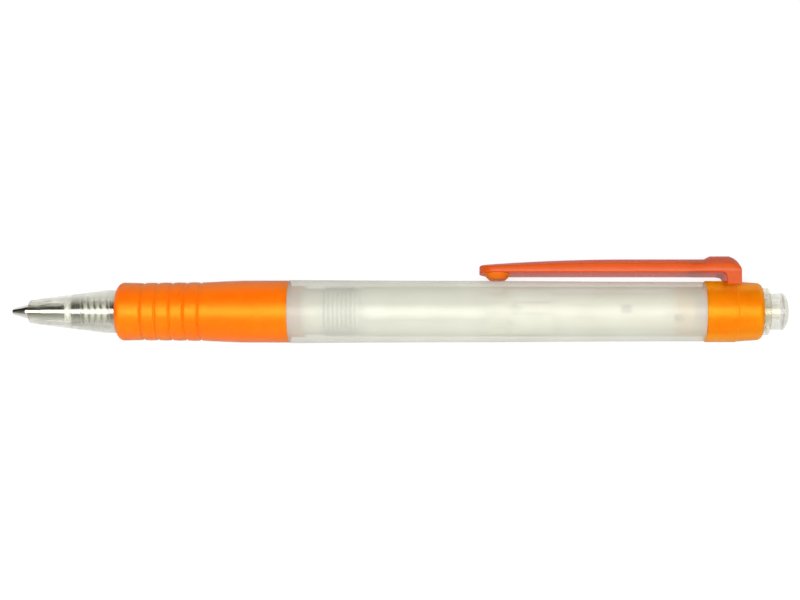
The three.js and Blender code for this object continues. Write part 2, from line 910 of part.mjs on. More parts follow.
// The pen lies on its barrel, rolled until the edge of the clip's block touches as well
const edgeHeight = clipInnerRadius + blockSide;
const edgeReach = Math.hypot(edgeHeight, blockWidth / 2);
const restRoll = Math.asin(collarRadius / edgeReach) - Math.atan2(blockWidth / 2, edgeHeight);
pen.rotation.x = -restRoll;

// The origin is at the middle of the floor that the resting pen covers
const extent = new THREE.Box3().setFromObject(pen, true);
const middle = extent.getCenter(new THREE.Vector3());
pen.position.set(-middle.x, -middle.y, -extent.min.z);

const group = new THREE.Group();
group.add(pen);

export default group;
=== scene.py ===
"""Looks of a pushbutton ballpoint pen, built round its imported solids, in metres and in their frame.

Pieces are drawn in the pen's own measures: millimetres along it from the ball, and millimetres
from its axis. Outlines are lists of (along, radius) or (along, radius, fillet).
"""
import math

import bmesh
import bpy
from mathutils import Matrix, Vector


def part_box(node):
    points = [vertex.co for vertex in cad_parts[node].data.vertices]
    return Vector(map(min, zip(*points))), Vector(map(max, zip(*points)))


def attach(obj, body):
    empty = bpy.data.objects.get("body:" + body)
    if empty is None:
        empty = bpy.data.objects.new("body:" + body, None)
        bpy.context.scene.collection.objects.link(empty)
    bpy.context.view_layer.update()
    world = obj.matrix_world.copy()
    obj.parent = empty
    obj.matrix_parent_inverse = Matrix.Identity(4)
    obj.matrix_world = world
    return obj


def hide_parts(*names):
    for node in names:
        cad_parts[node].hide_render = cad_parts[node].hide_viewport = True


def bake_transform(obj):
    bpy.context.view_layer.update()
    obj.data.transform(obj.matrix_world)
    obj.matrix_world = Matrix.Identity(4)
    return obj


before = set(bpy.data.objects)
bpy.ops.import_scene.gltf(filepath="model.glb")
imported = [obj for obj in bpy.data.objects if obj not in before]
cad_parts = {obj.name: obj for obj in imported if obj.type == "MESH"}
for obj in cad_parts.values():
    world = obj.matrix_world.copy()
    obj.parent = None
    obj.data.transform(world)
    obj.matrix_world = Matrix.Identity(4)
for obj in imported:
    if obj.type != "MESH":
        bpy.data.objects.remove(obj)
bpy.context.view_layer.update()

MM = 0.001

# The pen's axis in the frame, and its roll at rest in radians
BARREL_LOW, BARREL_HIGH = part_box("barrel")
AXIS_Y = (BARREL_LOW.y + BARREL_HIGH.y) / 2
AXIS_Z = (BARREL_LOW.z + BARREL_HIGH.z) / 2
BALL_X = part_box("ball")[0].x
ROLL = 0.27251168854415697

# Nose
NOSE_FRONT = 3.24
NOSE_HOLE_END = 3.84
SPRING_SEAT = 11.1
CONE_END = 17.46
NOSE_RADIUS = 3.965
NOSE_BORE = 1.65
NOSE_TUBE_RADIUS = 3.59
NOSE_TUBE_BORE = 2.9
CORE_RADIUS = 4.1
CORE_END = 63.66

# Grip
GRIP_FRONT = 19.4
GRIP_BORE = 3.66
GRIP_FLARE = 16.16
FINGER_RINGS = 5
FIRST_RING = 4.86
RING_PITCH = 2.61
RING_HALF_WIDTH = 0.3
RING_DEPTH = 0.25
SPIGOT_END = 53.26
CORE_FRONT = SPIGOT_END + 0.1

# Barrel and its thread
BARREL_FRONT = 50.81
BARREL_BORE = 4.55
MOUTH_DEPTH = 3.0
MOUTH_RADIUS = 4.67
THREAD_FRONT = 57.26
THREAD_PITCH = 0.8
THREAD_RINGS = 7
FEMALE_THREAD_ROOT = 4.67
FEMALE_THREAD_CREST = 4.25
MALE_THREAD_CREST = 4.52

# Ribs in the barrel that the cam locks on, with slanted fronts and slots between them
GUIDE_FRONT = 90.76
GUIDE_LENGTH = 7.95
GUIDE_COUNT = 4
GUIDE_INNER = 3.6
GUIDE_OUTER = 4.56
GUIDE_STEPS = 12
SLOT_HALF_WIDTH = 1.1
SLOT_RADIUS = 4.0
TOOTH_DEGREES = 45
TOOTH_RISE = 0.8
TOOTH_SLOPE_SHARE = 0.94

# Collar, bush and button
COLLAR_FRONT = 126.76
COLLAR_STEP = 5.6
COLLAR_REAR = 137.18
COLLAR_BORE = 4.0
COLLAR_RADIUS = 5.595
COLLAR_SPIGOT = 5.3
BUSH_FRONT = 130.76
BUSH_REAR = 138.51
BUSH_BORE = 3.46
BUSH_PLUG_RADIUS = 3.94
BUSH_RADIUS = 4.32
BUTTON_FRONT = 124.76
BUTTON_REAR = 142.12
BUTTON_RADIUS = 3.4
FLANGE_LENGTH = 1.2
FLANGE_RADIUS = 3.85
SOCKET_END = 140.47
SOCKET_RADIUS = 1.41

# Refill, writing tip, ball and spring
TIP_RADIUS = 1.245
TIP_SHOULDER = 5.3
TIP_END = 10.05
TIP_PLUG = 3.0
TIP_PLUG_RADIUS = 0.98
INK_WAY_RADIUS = 0.35
BALL_SEAT_RADIUS = 0.54
BALL_RADIUS = 0.5
REFILL_END = 89.56
REFILL_RADIUS = 1.5
REFILL_BORE = 1.05
SPRING_WIRE = 0.2
SPRING_RADIUS = 2.1
SPRING_LENGTH = 22.8

# Clip: distances from its tip, and heights from its inner face
CLIP_TIP = 85.55
CLIP_INNER = 6.89
CLIP_HALF = 3.0
ARM_RISE_END = 27.4
ARM_STRAIGHT_END = 39.0
ARM_END = 41.3
BLOCK_HALF = 3.39
BLOCK_START = 39.7
BLOCK_END = 45.85
BLOCK_HEIGHT = 3.355
BLOCK_EDGE = 0.4
BLOCK_LIFT = 0.03  # keeps the block's inner face clear of the arm's
POST_FRONT = 45.06
POST_REAR = 47.79
POST_FILLET = 1.15
POST_OVERLAP = 0.4
POST_FOOT_RADIUS = 5.7
NUB_CENTRE = 3.32

# How finely pieces are cut
TURN_STEPS = 160
FINE_TURN_STEPS = 96
SMALL_TURN_STEPS = 64
COIL_STEPS = 28
WIRE_SIDES = 10
SHARP_DEGREES = 32.0
CLIP_SHARP_DEGREES = 40
ROUND_SHARP_DEGREES = 60
ON_AXIS = 1e-6

# Where the middle of a noise lies: MapRange and ramps spread this part over their whole range
NOISE_SPAN = (0.3, 0.7)
RAMP_SPAN = (0.35, 0.65)

# Surface grain: scale of the noise, strength of the bump and its depth in metres
SATIN_GRAIN = (6000, 0.05, 0.00003)
MATT_GRAIN = (4000, 0.05, 0.00003)
METAL_GRAIN = (3000, 0.05, 0.00002)

# Camera: a long lens nearly overhead, leaning a little towards the clip
LENS = 76.9
SENSOR = 36.0
CAMERA_SHIFT = (-0.106, 0.0145)
CAMERA_DISTANCE = 0.313
CAMERA_TILT = 6.6
CAMERA_TARGET_X = 0.0155
NEAR_CLIP = 0.01

# Floor and light
FLOOR_SIZE = 6.0
FLOOR_Z = -0.0002
FLOOR_GREY = 0.22
FLOOR_GLOW = 0.75
KEY_PLACE = (0.0, 0.08, 0.6)
KEY_SIZE = (0.9, 0.34)
KEY_POWER = 7.8


def place(u, y=0.0, z=0.0):
    """A point of the pen in the frame, from millimetres along, towards the clip and sideways."""
    c, s = math.cos(ROLL), math.sin(ROLL)
    return Vector((BALL_X + u * MM, AXIS_Y + (y * c + z * s) * MM, AXIS_Z + (z * c - y * s) * MM))


def circle(steps):
    """Angles of equal steps round a circle."""
    return [2 * math.pi * k / steps for k in range(steps)]


def new_object(name, mesh):
    """An object in the scene that holds a mesh."""
    obj = bpy.data.objects.new(name, mesh)
    bpy.context.scene.collection.objects.link(obj)
    return obj


def finish_mesh(name, bm, sharp=SHARP_DEGREES):
    """Turns a bmesh into an object with smooth faces and sharp real edges."""
    bmesh.ops.recalc_face_normals(bm, faces=bm.faces)
    mesh = bpy.data.meshes.new(name)
    bm.to_mesh(mesh)
    bm.free()
    for face in mesh.polygons:
        face.use_smooth = True
    mesh.set_sharp_from_angle(angle=math.radians(sharp))
    return new_object(name, mesh)


def bend(start, corner, end, t):
    """A point on the curve that leaves start towards the corner and turns to end."""
    return start.lerp(corner, t).lerp(corner.lerp(end, t), t)


def rounded(outline, steps):
    """A closed outline, with each corner that has a fillet turned into an arc."""
    out = []
    for i, point in enumerate(outline):
        fillet = point[2] if len(point) > 2 else 0
        here = Vector(point[:2])
        if not fillet:
            out.append(here)
            continue
        back = Vector(outline[i - 1][:2]) - here
        ahead = Vector(outline[(i + 1) % len(outline)][:2]) - here
        reach = min(fillet, back.length * 0.45, ahead.length * 0.45)
        start = here + back.normalized() * reach
        end = here + ahead.normalized() * reach
        out += [bend(start, here, end, k / steps) for k in range(steps + 1)]
    return out


def turned(name, outline, steps=TURN_STEPS, sharp=SHARP_DEGREES, fillet_steps=4):
    """A piece turned about the pen's axis from a closed outline."""
    bm = bmesh.new()
    rings = []
    for point in rounded(outline, fillet_steps):
        if point.y < ON_AXIS:
            rings.append([bm.verts.new(place(point.x))])
            continue
        rings.append([
            bm.verts.new(place(point.x, point.y * math.cos(a), point.y * math.sin(a))) for a in circle(steps)
        ])
    for i, ring in enumerate(rings):
        other = rings[(i + 1) % len(rings)]
        if len(ring) == 1 and len(other) == 1:
            continue
        for k in range(steps):
            n = (k + 1) % steps
            if len(ring) == 1:
                bm.faces.new((ring[0], other[n], other[k]))
            elif len(other) == 1:
                bm.faces.new((ring[k], ring[n], other[0]))
            else:
                bm.faces.new((ring[k], ring[n], other[n], other[k]))
    return finish_mesh(name, bm, sharp)


def add_loft(bm, loops):
    """Adds a closed skin through equal loops of points, with a cap on each end."""
    rows = [[bm.verts.new(point) for point in loop] for loop in loops]
    for a, b in zip(rows, rows[1:]):
        for k in range(len(a)):
            n = (k + 1) % len(a)
            bm.faces.new((a[k], a[n], b[n], b[k]))
    bm.faces.new(rows[0])
    bm.faces.new(list(reversed(rows[-1])))


def loft(name, loops, sharp=SHARP_DEGREES):
    """A piece that is one lofted skin."""
    bm = bmesh.new()
    add_loft(bm, loops)
    return finish_mesh(name, bm, sharp)


def wire(name, path, radius):
    """A round wire along a path of points, with its section kept square to the path."""
    loops = []
    for i, point in enumerate(path):
        ahead = (path[min(i + 1, len(path) - 1)] - path[max(i - 1, 0)]).normalized()
        out = point - place((point.x - BALL_X) / MM)
        side = ahead.cross(out).normalized()
        up = side.cross(ahead).normalized()
        loops.append([
            point + (up * math.cos(a) + side * math.sin(a)) * radius for a in circle(WIRE_SIDES)
        ])
    return loft(name, loops, ROUND_SHARP_DEGREES)


class Nodes:
    """A node tree being put together."""

    def __init__(self, tree):
        self.tree = tree
        self.coords = self.node("ShaderNodeTexCoord")

    def node(self, kind, **settings):
        """A new node with some of its settings changed."""
        made = self.tree.nodes.new(kind)
        for key, value in settings.items():
            setattr(made, key, value)
        return made

    def feed(self, value, socket):
        """Links a node's output to a socket, or sets the socket to a plain value."""
        if isinstance(value, bpy.types.NodeSocket):
            self.tree.links.new(value, socket)
        else:
            socket.default_value = value

    def math(self, operation, first, second):
        """One step of arithmetic."""
        made = self.node("ShaderNodeMath", operation=operation)
        self.feed(first, made.inputs[0])
        self.feed(second, made.inputs[1])
        return made.outputs[0]

    def noise(self, scale, detail=3.0, stretch=(1, 1, 1)):
        """Noise that stays with the object."""
        mapping = self.node("ShaderNodeMapping")
        self.feed(stretch, mapping.inputs["Scale"])
        self.feed(self.coords.outputs["Object"], mapping.inputs["Vector"])
        noise = self.node("ShaderNodeTexNoise")
        self.feed(scale, noise.inputs["Scale"])
        self.feed(detail, noise.inputs["Detail"])
        self.feed(mapping.outputs["Vector"], noise.inputs["Vector"])
        return noise.outputs["Fac"]

    def ramp(self, factor, colors):
        """A colour between two, by a factor."""
        ramp = self.node("ShaderNodeValToRGB")
        for element, position, color in zip(ramp.color_ramp.elements, RAMP_SPAN, colors):
            element.position = position
            element.color = (*color, 1)
        self.feed(factor, ramp.inputs["Fac"])
        return ramp.outputs["Color"]

    def spread(self, factor, low, high):
        """A noise spread over a range of values."""
        spread = self.node("ShaderNodeMapRange")
        for socket, value in (("From Min", NOISE_SPAN[0]), ("From Max", NOISE_SPAN[1]),
                              ("To Min", low), ("To Max", high)):
            self.feed(value, spread.inputs[socket])
        self.feed(factor, spread.inputs["Value"])
        return spread.outputs["Result"]

    def bump(self, height, strength, distance):
        """A normal that a height disturbs."""
        bump = self.node("ShaderNodeBump")
        self.feed(strength, bump.inputs["Strength"])
        self.feed(distance, bump.inputs["Distance"])
        self.feed(height, bump.inputs["Height"])
        return bump.outputs["Normal"]

    def principled(self, **sockets):
        """A Principled shader; sockets are named with _ for each space."""
        shader = self.node("ShaderNodeBsdfPrincipled")
        for key, value in sockets.items():
            self.feed(value, shader.inputs[key.replace("_", " ")])
        return shader

    def skin(self, shader, rough, grain):
        """Gives a shader uneven gloss about a middle value, and a fine grain."""
        scale, strength, depth = grain
        self.feed(self.spread(self.noise(1500), rough * 0.85, rough * 1.15), shader.inputs["Roughness"])
        self.feed(self.bump(self.noise(scale, 2.0), strength, depth), shader.inputs["Normal"])

    def lobe(self, kind, color):
        """A plain shader of one kind and colour."""
        shader = self.node(kind)
        self.feed(color, shader.inputs["Color"])
        return shader.outputs["BSDF"]

    def mix(self, share, first, second):
        """Two shaders, of which the second has the given share."""
        mixed = self.node("ShaderNodeMixShader")
        self.feed(share, mixed.inputs["Fac"])
        self.feed(first, mixed.inputs[1])
        self.feed(second, mixed.inputs[2])
        return mixed.outputs["Shader"]


MATERIALS = {}


class Material(Nodes):
    """A new material being put together from nodes, kept in MATERIALS by its name."""

    def __init__(self, name):
        self.material = bpy.data.materials.new(name)
        MATERIALS[name] = self.material
        self.material.use_nodes = True
        self.material.node_tree.nodes.clear()
        super().__init__(self.material.node_tree)
        self.output = self.node("ShaderNodeOutputMaterial")

    def finish(self, shader):
        """Ends the material with its shader."""
        self.feed(shader, self.output.inputs["Surface"])


def linear(*rgb):
    """Screen colour from 0 to 255 as linear light."""
    out = []
    for value in rgb:
        v = value / 255
        out.append(v / 12.92 if v <= 0.04045 else ((v + 0.055) / 1.055) ** 2.4)
    return tuple(out)


def between(low, high):
    """The two ends of a colour that varies, from screen colours."""
    return linear(*low), linear(*high)


def clear_plastic(name, tint, share):
    """Clear polycarbonate. A share of what is seen through it is seen straight, unbent.

    Shadow rays and the light that the pieces inside scatter go straight through as well.
    """
    n = Material(name)
    shader = n.principled(Transmission_Weight=1.0, IOR=1.49, Specular_IOR_Level=0.2)
    n.feed(n.ramp(n.noise(300), tint), shader.inputs["Base Color"])
    n.feed(n.spread(n.noise(900), 0.02, 0.06), shader.inputs["Roughness"])
    n.feed(n.bump(n.noise(400, 1.0), 0.02, 0.00002), shader.inputs["Normal"])
    rays = n.node("ShaderNodeLightPath").outputs
    inside = n.math("MAXIMUM", rays["Is Shadow Ray"], rays["Is Diffuse Ray"])
    straight = n.math("MAXIMUM", inside, share)
    faint = between((244, 244, 238), (248, 248, 243))
    through = n.lobe("ShaderNodeBsdfTransparent", n.ramp(n.noise(300), faint))
    n.finish(n.mix(straight, shader.outputs["BSDF"], through))


def milky(n, tint, rough, clear, glow, specular):
    """Milky plastic: part of the light goes straight through, part glows through, part scatters."""
    shader = n.principled(IOR=1.45, Specular_IOR_Level=specular)
    n.feed(tint, shader.inputs["Base Color"])
    n.skin(shader, rough, SATIN_GRAIN)
    body = n.mix(glow, shader.outputs["BSDF"], n.lobe("ShaderNodeBsdfTranslucent", tint))
    n.finish(n.mix(clear, body, n.lobe("ShaderNodeBsdfTransparent", tint)))


def plain_milky(name, scale, tint, **shares):
    """Milky plastic with one tint that varies a little."""
    n = Material(name)
    milky(n, n.ramp(n.noise(scale), tint), **shares)


def thread_plastic():
    """The thread on the nose's core: a milky white copy of the clear plastic, with highlights painted along
    its crests.
    """
    n = Material("thread_plastic")
    wave_radians = 20  # the wave texture's turn per unit, at scale 1
    crest_highlight_bands = n.node("ShaderNodeTexWave")
    n.feed(2 * math.pi / wave_radians / (THREAD_PITCH * MM), crest_highlight_bands.inputs["Scale"])
    shift = n.node("ShaderNodeMapping")
    n.feed((0.6 * MM - place(THREAD_FRONT).x, 0, 0), shift.inputs["Location"])
    n.feed(n.coords.outputs["Object"], shift.inputs["Vector"])
    n.feed(shift.outputs["Vector"], crest_highlight_bands.inputs["Vector"])
    # Painted highlights: light bands on the crests and grey between them, where the softbox's gloss would
    # fall.
    tint = n.ramp(crest_highlight_bands.outputs["Fac"], between((188, 188, 179), (255, 255, 253)))
    milky(n, tint, rough=0.15, clear=0.2, glow=0.3, specular=0.8)


def orange_plastic(name, rough, clear, tint, through_tint):
    """Translucent orange: light wanders in it, and its green dies out before its red."""
    n = Material(name)
    shader = n.principled(
        IOR=1.45, Specular_IOR_Level=1.0, Specular_Tint=(1.0, 0.95, 0.09, 1.0),
        Subsurface_Weight=1.0, Subsurface_Radius=(1.0, 0.25, 0.03), Subsurface_Scale=0.003,
    )
    n.feed(n.ramp(n.noise(120), tint), shader.inputs["Base Color"])
    n.skin(shader, rough, SATIN_GRAIN)
    through = n.lobe("ShaderNodeBsdfTransparent", n.ramp(n.noise(120), through_tint))
    n.finish(n.mix(clear, shader.outputs["BSDF"], through))


def clip_plastic(name, tint, glow_tint):
    """The clip's orange-red, with a redder glow where light comes through the thin arm."""
    n = Material(name)
    shader = n.principled(IOR=1.5, Specular_IOR_Level=0.32)
    n.feed(n.ramp(n.noise(200), tint), shader.inputs["Base Color"])
    n.feed(n.spread(n.noise(1500), 0.22, 0.28), shader.inputs["Roughness"])
    n.feed(n.bump(n.noise(400, 1.0), 0.02, 0.00003), shader.inputs["Normal"])
    glow = n.lobe("ShaderNodeBsdfTranslucent", n.ramp(n.noise(200), glow_tint))
    n.finish(n.mix(0.45, shader.outputs["BSDF"], glow))


def satin_plastic(name, tint, rough):
    """Plain plastic that light doesn't pass."""
    n = Material(name)
    shader = n.principled(IOR=1.48)
    n.feed(n.ramp(n.noise(400), tint), shader.inputs["Base Color"])
    n.skin(shader, rough, MATT_GRAIN)
    n.finish(shader.outputs["BSDF"])


def metal(name, tint, rough, lines):
    """Drawn or turned metal; lines scales the noise along each axis, to draw the tool's marks."""
    n = Material(name)
    scale, strength, depth = METAL_GRAIN
    shader = n.principled(Metallic=1.0)
    n.feed(n.ramp(n.noise(800, 2.0, lines), tint), shader.inputs["Base Color"])
    n.feed(n.spread(n.noise(2500, 2.0, lines), rough * 0.8, rough * 1.25), shader.inputs["Roughness"])
    n.feed(n.bump(n.noise(scale, 2.0, lines), strength, depth), shader.inputs["Normal"])
    n.finish(shader.outputs["BSDF"])


clear_plastic("clear_plastic", between((208, 208, 202), (214, 214, 208)), 0.4)
clear_plastic("button_plastic", between((228, 228, 227), (233, 233, 232)), 0.5)
# Painted light: the clear bush's peach tint stands in for orange light from the collar around it.
clear_plastic("bush_plastic", between((255, 236, 214), (255, 242, 224)), 0.7)
plain_milky("frosted_plastic", 150, between((239, 239, 232), (243, 243, 237)),
            rough=0.35, clear=0.62, glow=0.35, specular=0.9)
# Painted light: a near-white milky copy of the clear plastic, which the nose's clear core wears to look
# brighter behind the barrel; the guide ribs wear it too.
plain_milky("core_plastic", 300, between((248, 248, 243), (252, 252, 247)),
            rough=0.15, clear=0.5, glow=0.3, specular=0.8)
plain_milky("mechanism_plastic", 400, between((243, 242, 235), (248, 247, 241)),
            rough=0.45, clear=0.15, glow=0.2, specular=0.5)
thread_plastic()
orange_plastic("grip_plastic", 0.42, 0.15, between((255, 106, 1), (255, 112, 3)),
               between((255, 180, 40), (255, 186, 48)))
orange_plastic("grip_spigot", 0.35, 0.8, between((255, 170, 90), (255, 176, 100)),
               between((255, 222, 170), (255, 226, 178)))
orange_plastic("collar_plastic", 0.36, 0.45, between((255, 136, 4), (255, 142, 8)),
               between((255, 214, 80), (255, 220, 90)))
orange_plastic("collar_spigot", 0.3, 0.9, between((255, 214, 150), (255, 220, 160)),
               between((255, 240, 214), (255, 244, 222)))
clip_plastic("clip_plastic", between((206, 92, 22), (210, 96, 26)),
             between((255, 110, 50), (255, 118, 58)))
# Painted light: the nub's lighter, yellower copy of the clip's plastic stands in for light bounced from the
# barrel.
clip_plastic("nub_plastic", between((226, 120, 24), (230, 125, 28)),
             between((255, 160, 50), (255, 166, 58)))
satin_plastic("refill_plastic", between((244, 244, 238), (250, 250, 246)), 0.4)
satin_plastic("ink_fill", between((24, 32, 90), (30, 38, 104)), 0.2)
satin_plastic("follower_grease", between((216, 200, 140), (226, 212, 156)), 0.3)
metal("spring_steel", ((0.66, 0.66, 0.64), (0.76, 0.76, 0.74)), 0.2, (1, 1, 1))
metal("tip_metal", ((0.6, 0.58, 0.52), (0.7, 0.68, 0.62)), 0.18, (12, 1, 1))
metal("ball_metal", ((0.5, 0.5, 0.5), (0.6, 0.6, 0.6)), 0.15, (1, 1, 1))


def wear(obj, material):
    """Gives an object one material, in place of any that it has."""
    obj.data.materials.clear()
    obj.data.materials.append(MATERIALS[material])


def dress(obj, body, slot, *nodes, material=None):
    """Gives a piece its material, its body and the nodes that it stands for."""
    wear(obj, material or slot)
    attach(obj, body)
    if nodes:
        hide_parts(*nodes)


def thread_rings(root, crest, fillet):
    """The outline of the thread, as a row of rings."""
    rings = []
    for k in range(THREAD_RINGS):
        start = THREAD_FRONT + THREAD_PITCH * k
        rings += [(start, root, fillet), (start + THREAD_PITCH / 2, crest, fillet)]
    rings.append((THREAD_FRONT + THREAD_PITCH * THREAD_RINGS, root, fillet))
    return rings


def nose():
    """Cone with its front land, the spring's seat and the tube under the grip."""
    return turned("nose_shell", [
        (NOSE_FRONT, 1.40, 0.08), (NOSE_FRONT, 2.1, 0.35), (4.8, 2.26, 0.04), (4.84, 2.33, 0.03),
        (CONE_END, NOSE_RADIUS, 0.6), (GRIP_FRONT, NOSE_RADIUS, 0.05),
        (GRIP_FRONT, NOSE_TUBE_RADIUS, 0.05), (CORE_FRONT, NOSE_TUBE_RADIUS, 0.05),
        (CORE_FRONT, NOSE_TUBE_BORE, 0.05), (GRIP_FRONT, NOSE_TUBE_BORE, 0.3),
        (SPRING_SEAT, 2.6, 0.1), (SPRING_SEAT, NOSE_BORE, 0.1),
        (NOSE_HOLE_END, NOSE_BORE, 0.1), (NOSE_HOLE_END, 1.395, 0.03),
    ])


def nose_core():
    """The plain part of the nose inside the barrel."""
    return turned("nose_core", [
        (CORE_FRONT, NOSE_TUBE_BORE, 0.05), (CORE_FRONT, CORE_RADIUS, 0.05),
        (THREAD_FRONT, CORE_RADIUS, 0.05), (THREAD_FRONT, NOSE_TUBE_BORE, 0.05),
    ])


def nose_thread():
    """The nose's threaded end."""
    return turned("nose_thread", [
        (THREAD_FRONT, NOSE_TUBE_BORE, 0.05), *thread_rings(CORE_RADIUS, MALE_THREAD_CREST, 0.05),
        (CORE_END, CORE_RADIUS, 0.1), (CORE_END, NOSE_TUBE_BORE, 0.1),
    ])


def grip():
    """Sleeve with a rounded front, shallow finger rings and a flare to the barrel."""
    points = [(GRIP_FRONT, GRIP_BORE, 0.05), (GRIP_FRONT, 4.1, 0.1)]
    start = Vector((GRIP_FRONT + 0.03, 4.22))
    corner = Vector((GRIP_FRONT + 0.45, 5.32))
    end = Vector((GRIP_FRONT + 1.35, 5.31))
    steps = 8
    for k in range(steps + 1):
        point = bend(start, corner, end, k / steps)
        points.append((point.x, point.y))
    for ring in range(FINGER_RINGS):
        u = GRIP_FRONT + FIRST_RING + RING_PITCH * ring
        r = 5.22 + 0.03 * ring
        points.append((u - 1.3, r + 0.03) if ring else (u - 1.6, r + 0.02))
        points += [
            (u - RING_HALF_WIDTH, r - 0.01, 0.12), (u, r - RING_DEPTH, 0.1),
            (u + RING_HALF_WIDTH, r - 0.01, 0.12),
        ]
    flare = GRIP_FRONT + GRIP_FLARE
    points += [
        (flare, 5.36, 1.0), (flare + 3.4, 5.53), (flare + 6.8, 5.66, 1.0),
        (BARREL_FRONT, 5.675, 0.06), (BARREL_FRONT, GRIP_BORE),
    ]
    return turned("grip_shell", points)


def spigot(name, front, rear, inner, outer):
    """The thin end of a sleeve that goes inside the barrel."""
    return turned(name, [(front, inner, 0.05), (front, outer, 0.1), (rear, outer, 0.1), (rear, inner, 0.05)])


def barrel():
    """Frosted tube that tapers to the rear, with the mouth for the grip's spigot and its thread."""
    mouth = BARREL_FRONT + MOUTH_DEPTH
    return turned("barrel_shell", [
        (BARREL_FRONT, 5.775, 0.12), (69.8, 5.665), (79.0, 5.64), (88.81, 5.618), (98.0, 5.565),
        (107.78, 5.49), (117.0, 5.463), (COLLAR_FRONT, 5.438, 0.1),
        (COLLAR_FRONT, BARREL_BORE, 0.1), (CORE_END, BARREL_BORE, 0.1),
        *reversed(thread_rings(FEMALE_THREAD_CREST, FEMALE_THREAD_ROOT, 0.04)),
        (mouth, FEMALE_THREAD_CREST, 0.1), (mouth, MOUTH_RADIUS, 0.1), (BARREL_FRONT, MOUTH_RADIUS, 0.15),
    ])


def guide_rib(number):
    """One of the ribs that the cam locks on, with its slanted front."""
    half_slot = math.degrees(math.asin(SLOT_HALF_WIDTH / SLOT_RADIUS))
    turn = 360 // GUIDE_COUNT
    start, end = turn * number + half_slot, turn * (number + 1) - half_slot
    rear = GUIDE_FRONT + GUIDE_LENGTH
    loops = []
    for k in range(GUIDE_STEPS + 1):
        degrees = start + (end - start) * k / GUIDE_STEPS
        phase = (degrees % TOOTH_DEGREES) / TOOTH_DEGREES
        front = GUIDE_FRONT + TOOTH_RISE * min(phase / TOOTH_SLOPE_SHARE, 1)
        a = math.radians(degrees)
        corners = ((front, GUIDE_INNER), (front, GUIDE_OUTER), (rear, GUIDE_OUTER), (rear, GUIDE_INNER))
        loops.append([place(u, r * math.cos(a), r * math.sin(a)) for u, r in corners])
    return loft(f"guide_rib_{number + 1}", loops)


def collar():
    """Ring behind the barrel, with a fine step and a well rounded rear edge."""
    step = COLLAR_FRONT + COLLAR_STEP
    return turned("collar_shell", [
        (COLLAR_FRONT, COLLAR_BORE), (COLLAR_FRONT, COLLAR_RADIUS, 0.12), (step, COLLAR_RADIUS, 0.06),
        (COLLAR_FRONT + 5.72, 5.495, 0.04), (COLLAR_REAR - 1.1, 5.25, 0.3),
        (COLLAR_REAR - 0.72, 5.2), (COLLAR_REAR - 0.4, 5.04), (COLLAR_REAR - 0.13, 4.79),
        (COLLAR_REAR - 0.01, 4.5), (COLLAR_REAR, 4.38), (COLLAR_REAR, COLLAR_BORE, 0.05),
    ], fillet_steps=8)


def bush():
    """Clear ring that the button slides in."""
    return turned("bush_shell", [
        (BUSH_FRONT, BUSH_BORE, 0.08), (BUSH_FRONT, BUSH_PLUG_RADIUS, 0.08),
        (COLLAR_REAR, BUSH_PLUG_RADIUS, 0.03), (COLLAR_REAR, BUSH_RADIUS, 0.04),
        (BUSH_REAR, BUSH_RADIUS, 0.55), (BUSH_REAR, BUSH_BORE, 0.06),
    ], fillet_steps=8)


def button():
    """Clear cap with a flange in front, a domed end and a socket for the plunger's stem."""
    flange_end = BUTTON_FRONT + FLANGE_LENGTH
    return turned("button_shell", [
        (BUTTON_FRONT, SOCKET_RADIUS, 0.05), (BUTTON_FRONT, FLANGE_RADIUS, 0.08),
        (flange_end, FLANGE_RADIUS, 0.08), (flange_end, BUTTON_RADIUS, 0.05),
        (141.04, BUTTON_RADIUS, 0.12), (141.46, 2.98, 0.25), (141.83, 2.2), (142.01, 1.3),
        (BUTTON_REAR - 0.015, 0.5), (BUTTON_REAR, 0.0), (SOCKET_END, 0.0),
        (SOCKET_END, SOCKET_RADIUS, 0.1),
    ], fillet_steps=6)


def spring():
    """Closed coils at both ends and in the middle, and open ones between them."""
    rows = [(4, 0.43), (4.5, 1.12), (3, 0.43), (4, 1.25), (3, 0.43)]
    length = SPRING_LENGTH - 2 * SPRING_WIRE
    used = sum(turns * pitch for turns, pitch in rows)
    open_turns = 4
    rows.insert(4, (open_turns, (length - used) / open_turns))
    path = []
    u, turn = SPRING_SEAT + 0.1 + SPRING_WIRE, 0.0
    for turns, pitch in rows:
        for _ in range(round(turns * COIL_STEPS)):
            a = 2 * math.pi * turn
            path.append(place(u, SPRING_RADIUS * math.cos(a), SPRING_RADIUS * math.sin(a)))
            turn += 1 / COIL_STEPS
            u += pitch / COIL_STEPS
    return wire("spring_coil", path, SPRING_WIRE * MM)


def tip():
    """Turned metal tip: ball seat, cone, neck, shoulder and the plug in the refill."""
    return turned("tip_turned", [
        (0.2, 0.445, 0.01), (0.2, 0.53, 0.03), (0.62, 0.66), (2.72, TIP_RADIUS, 0.12),
        (TIP_SHOULDER, TIP_RADIUS, 0.05), (TIP_SHOULDER + 0.2, REFILL_RADIUS, 0.1),
        (TIP_END, REFILL_RADIUS, 0.08), (TIP_END, TIP_PLUG_RADIUS, 0.05),
        (TIP_END + TIP_PLUG, TIP_PLUG_RADIUS, 0.1), (TIP_END + TIP_PLUG, INK_WAY_RADIUS, 0.05),
        (1.2, INK_WAY_RADIUS, 0.05), (0.9, BALL_SEAT_RADIUS, 0.05), (0.5, BALL_SEAT_RADIUS, 0.02),
    ], steps=FINE_TURN_STEPS)


def writing_ball():
    """Ball whose front is the pen's foremost point."""
    steps = 32
    points = []
    for k in range(steps + 1):
        a = math.pi * k / steps
        points.append((BALL_RADIUS - BALL_RADIUS * math.cos(a), BALL_RADIUS * math.sin(a)))
    return turned("ball_ground", points, steps=SMALL_TURN_STEPS, sharp=ROUND_SHARP_DEGREES)


